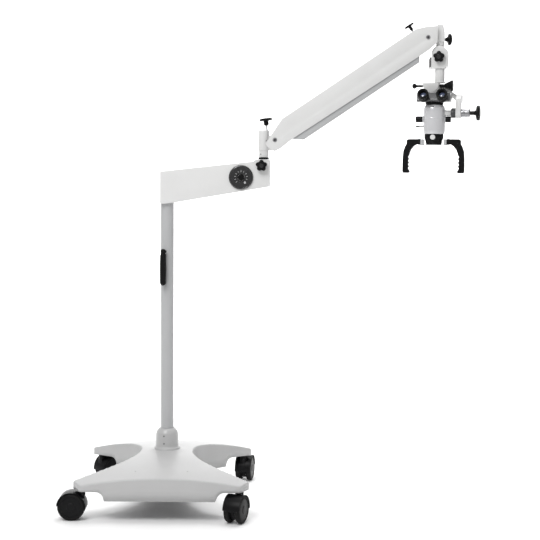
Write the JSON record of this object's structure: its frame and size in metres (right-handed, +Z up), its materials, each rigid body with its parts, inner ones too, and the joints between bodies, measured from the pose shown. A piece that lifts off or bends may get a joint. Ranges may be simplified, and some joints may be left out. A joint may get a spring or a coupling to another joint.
{
  "type": "floor-stand operating stereo microscope",
  "caption": "Mobile floor-stand operating microscope: castored base, column, swinging arm, balanced spring arm and a tilting binocular head with hand grips.",
  "frame": {"origin": "on the floor, at the middle of the whole outline seen from above", "axes": "+Z up, +X from the column towards the microscope head, -Y the side the eyepieces and the control dial face"},
  "size_m": [1.5481, 0.7572, 1.8263],
  "materials": {
    "base_cover": "light grey satin",
    "casting": "primed",
    "column": "cool light grey satin coating",
    "arm_paint": "off-white satin coating",
    "grey_panel": "light grey satin coating",
    "black_plastic": "moulded black",
    "black_gloss": "gloss black",
    "scope_paint": "glossy silver white",
    "bino_grey": "mid grey satin",
    "metal": "brushed",
    "black_metal": "black anodised",
    "tyre": "matt",
    "optics": "coated"
  },
  "bodies": {
    "base": {"base_cover": "base_cover", "base_casting": "casting", "column_tube": "column", "column_collar": "arm_paint", "column_handle": "black_plastic"},
    "castor_front_left": {"castor_yoke_front_left": "black_plastic"},
    "wheels_front_left": {"castor_wheels_front_left": "tyre"},
    "castor_front_right": {"castor_yoke_front_right": "black_plastic"},
    "wheels_front_right": {"castor_wheels_front_right": "tyre"},
    "castor_rear_right": {"castor_yoke_rear_right": "black_plastic"},
    "wheels_rear_right": {"castor_wheels_rear_right": "tyre"},
    "castor_rear_left": {"castor_yoke_rear_left": "black_plastic"},
    "wheels_rear_left": {"castor_wheels_rear_left": "tyre"},
    "lower_arm": {"lower_arm_housing": "arm_paint", "lower_arm_bottom_cover": "arm_paint", "lower_arm_end_plate": "grey_panel", "control_panel": "black_gloss", "power_supply": "metal", "swivel_washer": "black_plastic"},
    "brightness_knob": {"brightness_knob": "black_plastic"},
    "power_button": {"power_button": "grey_panel"},
    "swivel_lock_knob": {"swivel_lock_knob": "black_plastic"},
    "swivel": {"swivel_head": "arm_paint", "rear_pivot_pin": "metal"},
    "lift_brake_knob": {"lift_brake_knob": "black_plastic"},
    "spring_arm": {"spring_arm_cover": "arm_paint", "spring_arm_rail": "grey_panel", "balance_spring": "metal"},
    "spring_tension_knob": {"spring_tension_knob": "black_plastic"},
    "parallel_link": {"parallel_link": "metal"},
    "end_housing": {"end_housing": "arm_paint", "front_pivot_pin": "metal"},
    "head_lock_knob": {"head_lock_knob": "black_plastic"},
    "yaw_fork": {"yaw_fork": "arm_paint"},
    "head_frame": {"inclination_housing": "arm_paint", "neck_carrier": "arm_paint", "tilt_bracket": "arm_paint", "tilt_friction_collar": "black_metal", "tilt_drive_housing": "metal"},
    "inclination_knob": {"inclination_knob": "black_plastic"},
    "carrier_release_knob": {"carrier_release_knob": "black_plastic"},
    "carrier_clamp_knob": {"carrier_clamp_knob": "black_plastic"},
    "microscope": {"scope_body": "scope_paint", "dovetail_ring": "black_metal", "objective_housing": "black_metal", "handle_bridge": "grey_panel", "binocular_housing": "bino_grey"},
    "tilt_knob": {"tilt_knob": "black_plastic"},
    "magnification_drum": {"magnification_drum": "black_metal", "magnification_knob_left": "black_plastic", "magnification_knob_right": "black_plastic"},
    "filter_lever": {"filter_lever": "black_metal"},
    "focus_knob": {"focus_knob": "scope_paint"},
    "objective_lens": {"objective_lens": "optics"},
    "handle_left": {"handle_left": "black_plastic"},
    "handle_right": {"handle_right": "black_plastic"},
    "eyepiece_left": {"eyepiece_left": "black_metal"},
    "eyepiece_right": {"eyepiece_right": "black_metal"},
    "eyecup_left": {"eyecup_left": "tyre"},
    "eyecup_right": {"eyecup_right": "tyre"}
  },
  "joints": [
    {"name": "castor_swivel_front_left", "type": "hinge", "parent": "base", "child": "castor_front_left", "pos_m": [-0.684, -0.286, 0.1], "axis": [0, 0, 1], "continuous": true},
    {"name": "wheel_roll_front_left", "type": "hinge", "parent": "castor_front_left", "child": "wheels_front_left", "pos_m": [-0.72, -0.286, 0.05], "axis": [0, -1, 0], "continuous": true},
    {"name": "castor_swivel_front_right", "type": "hinge", "parent": "base", "child": "castor_front_right", "pos_m": [-0.108, -0.286, 0.1], "axis": [0, 0, 1], "continuous": true},
    {"name": "wheel_roll_front_right", "type": "hinge", "parent": "castor_front_right", "child": "wheels_front_right", "pos_m": [-0.1209, -0.31961, 0.05], "axis": [0.9336, -0.3584, 0], "continuous": true},
    {"name": "castor_swivel_rear_right", "type": "hinge", "parent": "base", "child": "castor_rear_right", "pos_m": [-0.108, 0.286, 0.1], "axis": [0, 0, 1], "continuous": true},
    {"name": "wheel_roll_rear_right", "type": "hinge", "parent": "castor_rear_right", "child": "wheels_rear_right", "pos_m": [-0.10175, 0.32145, 0.05], "axis": [-0.9848, 0.1736, 0], "continuous": true},
    {"name": "castor_swivel_rear_left", "type": "hinge", "parent": "base", "child": "castor_rear_left", "pos_m": [-0.684, 0.286, 0.1], "axis": [0, 0, 1], "continuous": true},
    {"name": "wheel_roll_rear_left", "type": "hinge", "parent": "castor_rear_left", "child": "wheels_rear_left", "pos_m": [-0.65991, 0.31275, 0.05], "axis": [-0.7431, 0.6691, 0], "continuous": true},
    {"name": "arm_swing", "type": "hinge", "parent": "base", "child": "lower_arm", "pos_m": [-0.396, 0, 1.2], "axis": [0, 0, 1], "range_deg": [-170, 170]},
    {"name": "brightness_turn", "type": "hinge", "parent": "lower_arm", "child": "brightness_knob", "pos_m": [-0.1165, -0.038, 1.243], "axis": [0, 1, 0], "range_deg": [-135, 135]},
    {"name": "power_press", "type": "slide", "parent": "lower_arm", "child": "power_button", "axis": [0, 1, 0], "range_m": [0, 0.0025], "stiffness_N_per_m": 300},
    {"name": "swivel_lock_turn", "type": "hinge", "parent": "lower_arm", "child": "swivel_lock_knob", "pos_m": [-0.04, -0.038, 1.286], "axis": [0, 1, 0], "range_deg": [-90, 90]},
    {"name": "arm_swivel", "type": "hinge", "parent": "lower_arm", "child": "swivel", "pos_m": [-0.032, 0, 1.311], "axis": [0, 0, 1], "range_deg": [-130, 130]},
    {"name": "lift_brake_turn", "type": "hinge", "parent": "swivel", "child": "lift_brake_knob", "pos_m": [-0.02, 0, 1.421], "axis": [-0.1219, 0, 0.9925], "range_deg": [-120, 120]},
    {"name": "arm_lift", "type": "hinge", "parent": "swivel", "child": "spring_arm", "pos_m": [0.0098, 0, 1.384], "axis": [0, -1, 0], "range_deg": [-65, 11]},
    {"name": "spring_tension_turn", "type": "hinge", "parent": "spring_arm", "child": "spring_tension_knob", "pos_m": [0.55243, 0, 1.75152], "axis": [-0.5608, 0, 0.828], "range_deg": [-180, 180]},
    {"name": "link_turn", "type": "hinge", "parent": "swivel", "child": "parallel_link", "pos_m": [0.0098, 0, 1.356], "axis": [0, -1, 0], "range_deg": [-65, 11]},
    {"name": "end_level", "type": "hinge", "parent": "spring_arm", "child": "end_housing", "pos_m": [0.5781, 0, 1.7689], "axis": [0, -1, 0], "range_deg": [-11, 65]},
    {"name": "head_lock_turn", "type": "hinge", "parent": "end_housing", "child": "head_lock_knob", "pos_m": [0.654, 0, 1.764], "axis": [1, 0, 0], "range_deg": [-120, 120]},
    {"name": "head_yaw", "type": "hinge", "parent": "end_housing", "child": "yaw_fork", "pos_m": [0.628, 0, 1.75], "axis": [0, 0, 1], "range_deg": [-95, 95]},
    {"name": "head_incline", "type": "hinge", "parent": "yaw_fork", "child": "head_frame", "pos_m": [0.628, 0, 1.697], "axis": [0.2419, 0.9703, 0], "range_deg": [-30, 10]},
    {"name": "inclination_knob_turn", "type": "hinge", "parent": "head_frame", "child": "inclination_knob", "pos_m": [0.62074, -0.02911, 1.697], "axis": [0.2419, 0.9703, 0], "range_deg": [-120, 120]},
    {"name": "carrier_release_turn", "type": "hinge", "parent": "head_frame", "child": "carrier_release_knob", "pos_m": [0.54067, 0.02177, 1.591], "axis": [0.9703, -0.2419, 0], "range_deg": [-120, 120]},
    {"name": "carrier_clamp_turn", "type": "hinge", "parent": "head_frame", "child": "carrier_clamp_knob", "pos_m": [0.65711, -0.00726, 1.591], "axis": [0.9703, -0.2419, 0], "range_deg": [-120, 120]},
    {"name": "scope_tilt", "type": "hinge", "parent": "head_frame", "child": "microscope", "pos_m": [0.61784, -0.04075, 1.488], "axis": [0.9703, -0.2419, 0], "range_deg": [-40, 40]},
    {"name": "tilt_knob_turn", "type": "hinge", "parent": "head_frame", "child": "tilt_knob", "pos_m": [0.75368, -0.07462, 1.488], "axis": [0.9703, -0.2419, 0], "range_deg": [-160, 160]},
    {"name": "magnification_turn", "type": "hinge", "parent": "microscope", "child": "magnification_drum", "pos_m": [0.60523, -0.03761, 1.465], "axis": [0.9703, -0.2419, 0], "range_deg": [-144, 144]},
    {"name": "filter_push", "type": "slide", "parent": "microscope", "child": "filter_lever", "axis": [0.9703, -0.2419, 0], "range_m": [0, 0.012]},
    {"name": "focus_turn", "type": "hinge", "parent": "microscope", "child": "focus_knob", "pos_m": [0.59555, -0.07642, 1.398], "axis": [0.2419, 0.9703, 0], "range_deg": [-150, 150]},
    {"name": "objective_travel", "type": "slide", "parent": "microscope", "child": "objective_lens", "axis": [0, 0, 1], "range_m": [-0.004, 0.004]},
    {"name": "handle_turn_left", "type": "hinge", "parent": "microscope", "child": "handle_left", "pos_m": [0.55671, -0.02551, 1.381], "axis": [0.9703, -0.2419, 0], "range_deg": [-45, 45]},
    {"name": "handle_turn_right", "type": "hinge", "parent": "microscope", "child": "handle_right", "pos_m": [0.65374, -0.0497, 1.381], "axis": [0.9703, -0.2419, 0], "range_deg": [-45, 45]},
    {"name": "pupil_distance_left", "type": "slide", "parent": "microscope", "child": "eyepiece_left", "axis": [0.9703, -0.2419, 0], "range_m": [-0.0027, 0.0073]},
    {"name": "pupil_distance_right", "type": "slide", "parent": "microscope", "child": "eyepiece_right", "axis": [0.9703, -0.2419, 0], "range_m": [-0.0073, 0.0027]},
    {"name": "eyecup_turn_left", "type": "hinge", "parent": "eyepiece_left", "child": "eyecup_left", "pos_m": [0.56149, -0.06917, 1.541], "axis": [-0.2193, -0.8794, 0.4226], "range_deg": [-120, 120]},
    {"name": "eyecup_turn_right", "type": "hinge", "parent": "eyepiece_right", "child": "eyecup_right", "pos_m": [0.62902, -0.086, 1.541], "axis": [-0.2193, -0.8794, 0.4226], "range_deg": [-120, 120]}
  ],
  "couplings": [
    {"joint": "link_turn", "follows": "arm_lift", "ratio": 1},
    {"joint": "end_level", "follows": "arm_lift", "ratio": -1},
    {"joint": "tilt_knob_turn", "follows": "scope_tilt", "ratio": 4},
    {"joint": "focus_turn", "follows": "objective_travel", "rad_per_m": 650},
    {"joint": "pupil_distance_right", "follows": "pupil_distance_left", "ratio": -1}
  ]
}
